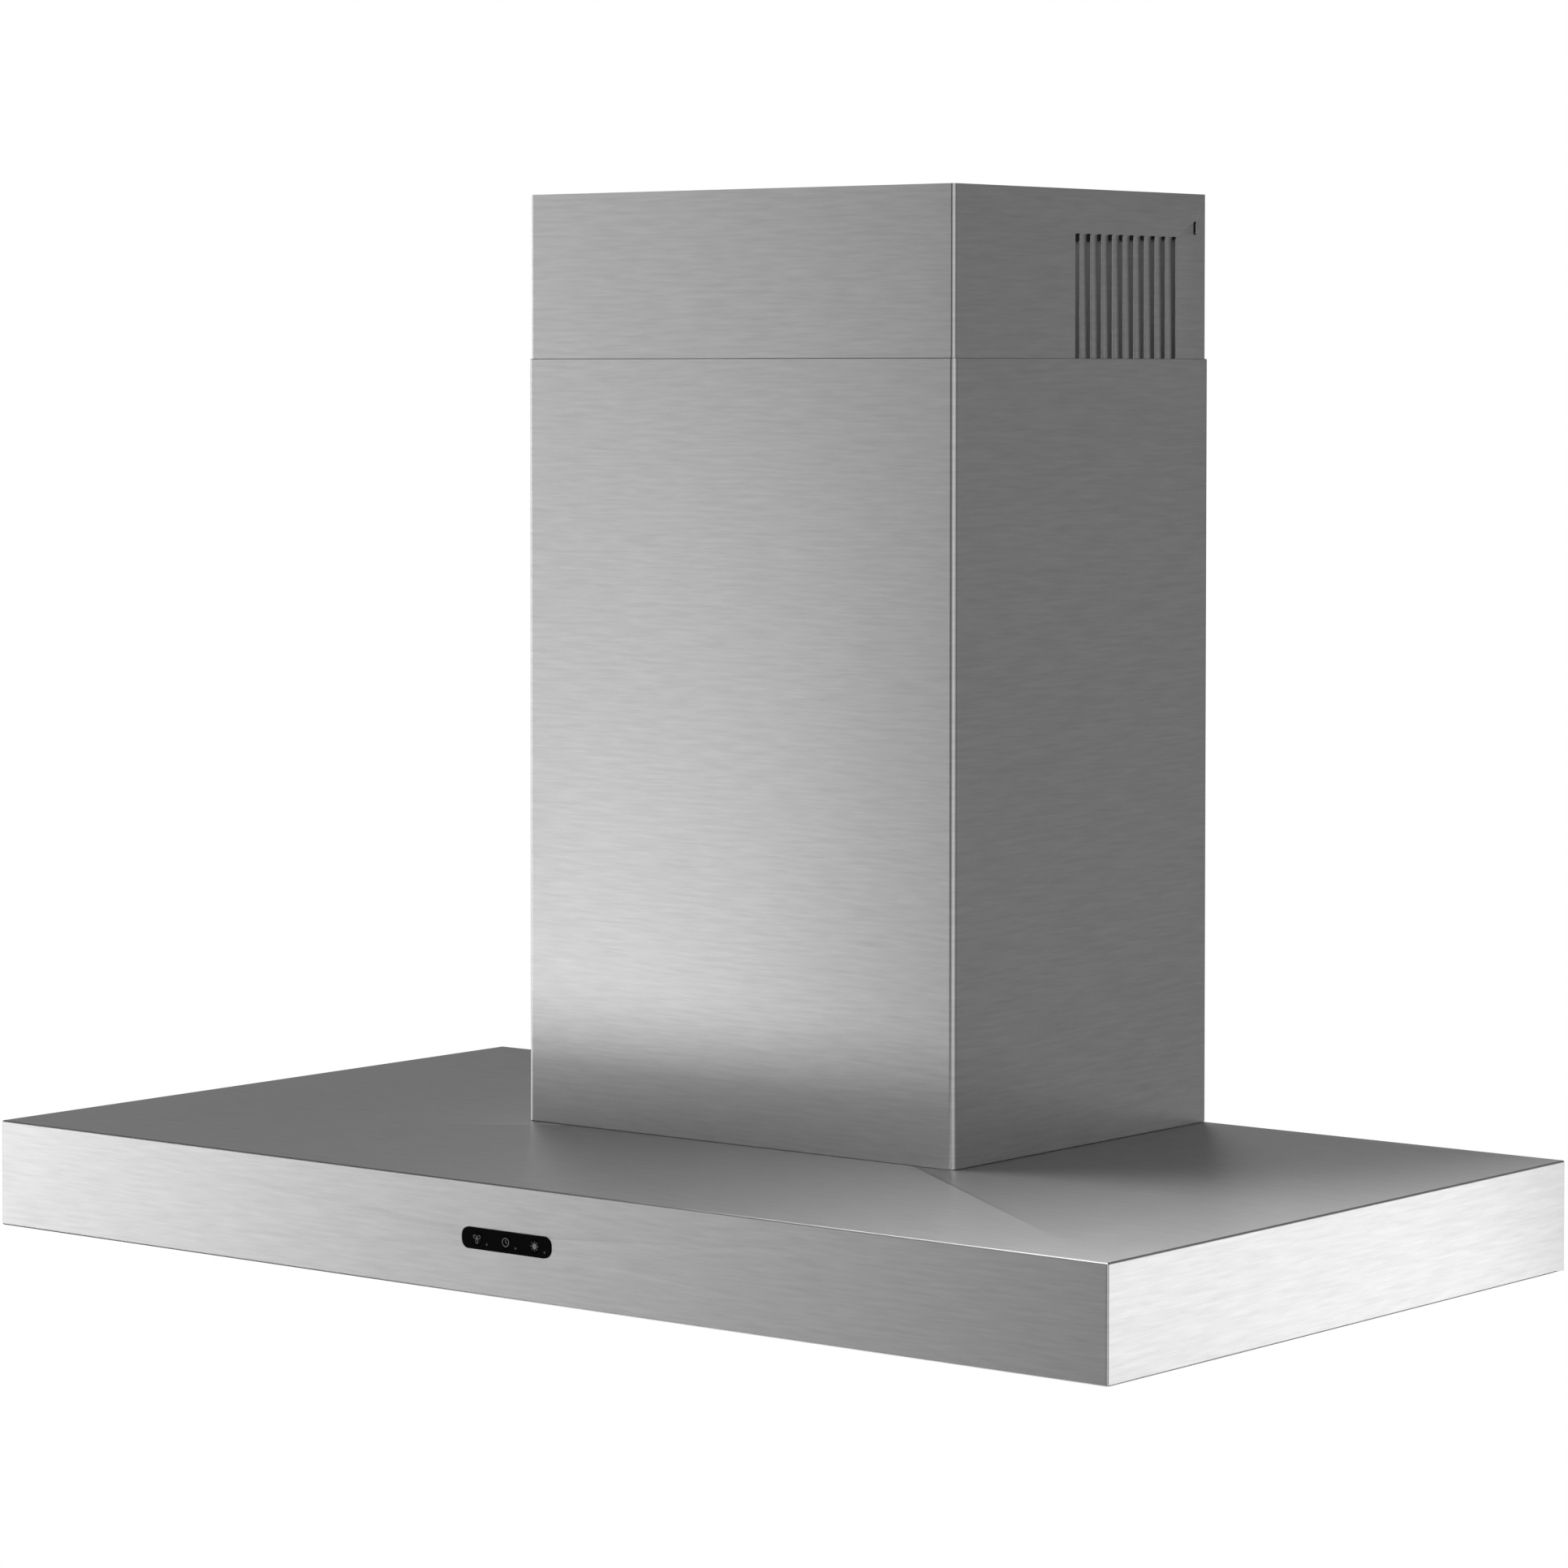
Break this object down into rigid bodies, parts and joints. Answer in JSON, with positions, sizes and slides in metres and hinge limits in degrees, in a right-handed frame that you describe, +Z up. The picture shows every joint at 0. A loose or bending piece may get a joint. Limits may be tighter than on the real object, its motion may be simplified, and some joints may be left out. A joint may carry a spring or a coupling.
{
  "type": "wall-mounted chimney range hood",
  "caption": "Stainless wall chimney range hood: flat box canopy with grease filters, lamps and push keys, blower inside a telescopic chimney cover.",
  "frame": {"origin": "on the wall plane, at the middle of the canopy's rear face", "axes": "+X to the right as seen from the room, +Y into the wall, +Z up; the controls face -Y"},
  "size_m": [0.9, 0.5009, 0.6855],
  "materials": {
    "canopy_steel": "brushed stainless, fine horizontal grain",
    "underside_steel": "brushed stainless, fine grain from side to side",
    "chimney_steel": "brushed stainless, fine horizontal grain",
    "galvanised": "galvanised sheet, faint spangle",
    "filter_aluminium": "satin aluminium frame",
    "filter_mesh": "expanded aluminium mesh in layers",
    "bezel": "satin nickel-plated ring",
    "lens": "frosted glass",
    "lamp_housing": "cast aluminium",
    "gloss_black": "gloss black plastic with pale printed symbols",
    "matte_black": "matt black moulded plastic",
    "board": "green printed circuit board",
    "terminal": "off-white moulded plastic",
    "grey_plastic": "dark grey moulded plastic",
    "capacitor": "pale grey plastic can",
    "motor": "dark grey painted steel",
    "plated_steel": "zinc-plated steel",
    "bearing": "sintered bronze"
  },
  "bodies": {
    "hood": {"canopy_shell": "canopy_steel", "underside_panel": "underside_steel", "lower_chimney_cover": "chimney_steel", "canopy_back_panel": "galvanised", "blower_enclosure": "galvanised", "wall_hanger": "galvanised", "lower_cover_clip_left": "galvanised", "lower_cover_clip_right": "galvanised", "junction_box": "galvanised", "junction_box_cover": "galvanised", "motor_spider": "galvanised", "lamp_bezel_left": "bezel", "lamp_bezel_right": "bezel", "lamp_lens_left": "lens", "lamp_lens_right": "lens", "lamp_housing_left": "lamp_housing", "lamp_housing_right": "lamp_housing", "control_fascia": "gloss_black", "control_carrier": "matte_black", "outlet_collar": "matte_black", "cable_gland": "matte_black", "key_switch_fan": "matte_black", "key_switch_timer": "matte_black", "key_switch_light": "matte_black", "control_board": "board", "terminal_block": "terminal", "scroll_half_left": "grey_plastic", "scroll_half_right": "grey_plastic", "power_module": "grey_plastic", "run_capacitor": "capacitor", "motor_can": "motor", "damper_pin": "plated_steel", "enclosure_screw_1": "plated_steel", "enclosure_screw_2": "plated_steel", "enclosure_screw_3": "plated_steel", "enclosure_screw_4": "plated_steel", "motor_bearing_inner": "bearing", "motor_bearing_outer": "bearing"},
    "upper_chimney": {"upper_chimney_cover": "chimney_steel", "upper_cover_bracket": "galvanised"},
    "filter_left": {"filter_frame_left": "filter_aluminium", "filter_mesh_left": "filter_mesh"},
    "filter_right": {"filter_frame_right": "filter_aluminium", "filter_mesh_right": "filter_mesh"},
    "latch_left": {"filter_latch_left": "matte_black"},
    "latch_right": {"filter_latch_right": "matte_black"},
    "rotor": {"impeller": "grey_plastic", "motor_shaft": "plated_steel"},
    "damper_front": {"damper_flap_front": "matte_black"},
    "damper_rear": {"damper_flap_rear": "matte_black"},
    "key_fan": {"key_fan": "gloss_black"},
    "key_timer": {"key_timer": "gloss_black"},
    "key_light": {"key_light": "gloss_black"}
  },
  "joints": [
    {"name": "upper_cover_slide", "type": "slide", "parent": "hood", "child": "upper_chimney", "axis": [0, 0, 1], "range_m": [-0.09, 0.33]},
    {"name": "filter_left_hinge", "type": "hinge", "parent": "hood", "child": "filter_left", "pos_m": [-0.178, -0.086, -0.02], "axis": [1, 0, 0], "range_deg": [0, 70]},
    {"name": "latch_left_slide", "type": "slide", "parent": "filter_left", "child": "latch_left", "axis": [0, 1, 0], "range_m": [0, 0.005], "stiffness_N_per_m": 300},
    {"name": "filter_right_hinge", "type": "hinge", "parent": "hood", "child": "filter_right", "pos_m": [0.178, -0.086, -0.02], "axis": [1, 0, 0], "range_deg": [0, 70]},
    {"name": "latch_right_slide", "type": "slide", "parent": "filter_right", "child": "latch_right", "axis": [0, 1, 0], "range_m": [0, 0.005], "stiffness_N_per_m": 300},
    {"name": "rotor_spin", "type": "hinge", "parent": "hood", "child": "rotor", "pos_m": [0, -0.12422, 0.1545], "axis": [1, 0, 0], "continuous": true},
    {"name": "damper_front_hinge", "type": "hinge", "parent": "hood", "child": "damper_front", "pos_m": [0, -0.1836, 0.33915], "axis": [-1, 0, 0], "range_deg": [0, 80]},
    {"name": "damper_rear_hinge", "type": "hinge", "parent": "hood", "child": "damper_rear", "pos_m": [0, -0.1836, 0.33915], "axis": [1, 0, 0], "range_deg": [0, 80]},
    {"name": "key_fan_press", "type": "slide", "parent": "hood", "child": "key_fan", "axis": [0, 1, 0], "range_m": [0, 0.0008], "stiffness_N_per_m": 500},
    {"name": "key_timer_press", "type": "slide", "parent": "hood", "child": "key_timer", "axis": [0, 1, 0], "range_m": [0, 0.0008], "stiffness_N_per_m": 500},
    {"name": "key_light_press", "type": "slide", "parent": "hood", "child": "key_light", "axis": [0, 1, 0], "range_m": [0, 0.0008], "stiffness_N_per_m": 500}
  ]
}
